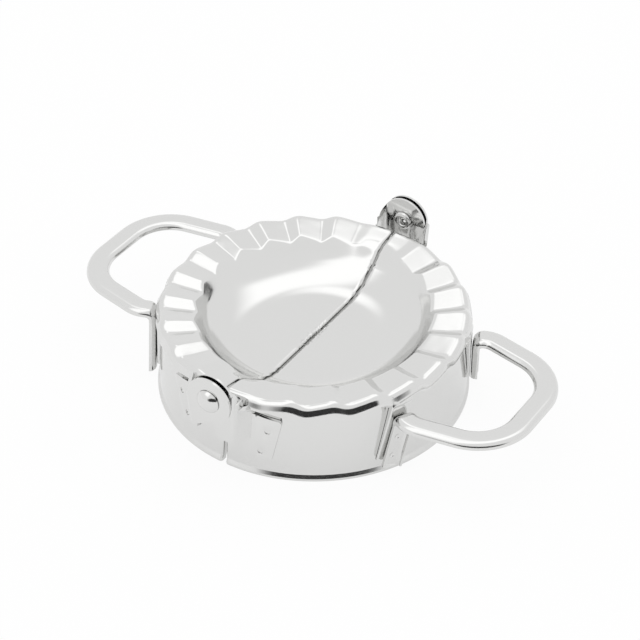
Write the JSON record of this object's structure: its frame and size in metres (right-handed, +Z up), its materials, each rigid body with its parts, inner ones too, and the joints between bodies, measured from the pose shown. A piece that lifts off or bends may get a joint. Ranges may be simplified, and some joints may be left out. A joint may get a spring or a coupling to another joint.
{
  "type": "empanada press",
  "caption": "Hinged empanada press of pressed stainless sheet: a dished, fluted mould on a cutter ring, split in two halves with bow handles.",
  "frame": {"origin": "on the table, under the middle of the press, half-way between the handle ends and on the hinge axis in plan", "axes": "+X along the handles, towards the half that swings; +Y along the hinge axis; +Z up"},
  "size_m": [0.1578, 0.1142, 0.0362],
  "materials": {
    "pressed_steel": "bright pressed stainless steel, softly polished",
    "wall_steel": "bright rolled stainless strip",
    "handle_steel": "tumbled stainless channel",
    "bracket_steel": "punched stainless strap",
    "rivet_steel": "bright turned steel"
  },
  "bodies": {
    "left_half": {"mould_left": "pressed_steel", "cutter_wall_left": "wall_steel", "handle_left": "handle_steel", "bracket_left_far": "bracket_steel", "bracket_left_near": "bracket_steel", "rivet_near": "rivet_steel"},
    "right_half": {"mould_right": "pressed_steel", "cutter_wall_right": "wall_steel", "handle_right": "handle_steel", "bracket_right_near": "bracket_steel", "bracket_right_far": "bracket_steel", "rivet_far": "rivet_steel"}
  },
  "joints": [
    {"name": "fold", "type": "hinge", "parent": "left_half", "child": "right_half", "pos_m": [0, 0, 0.0287], "axis": [0, -1, 0], "range_deg": [0, 180]}
  ]
}
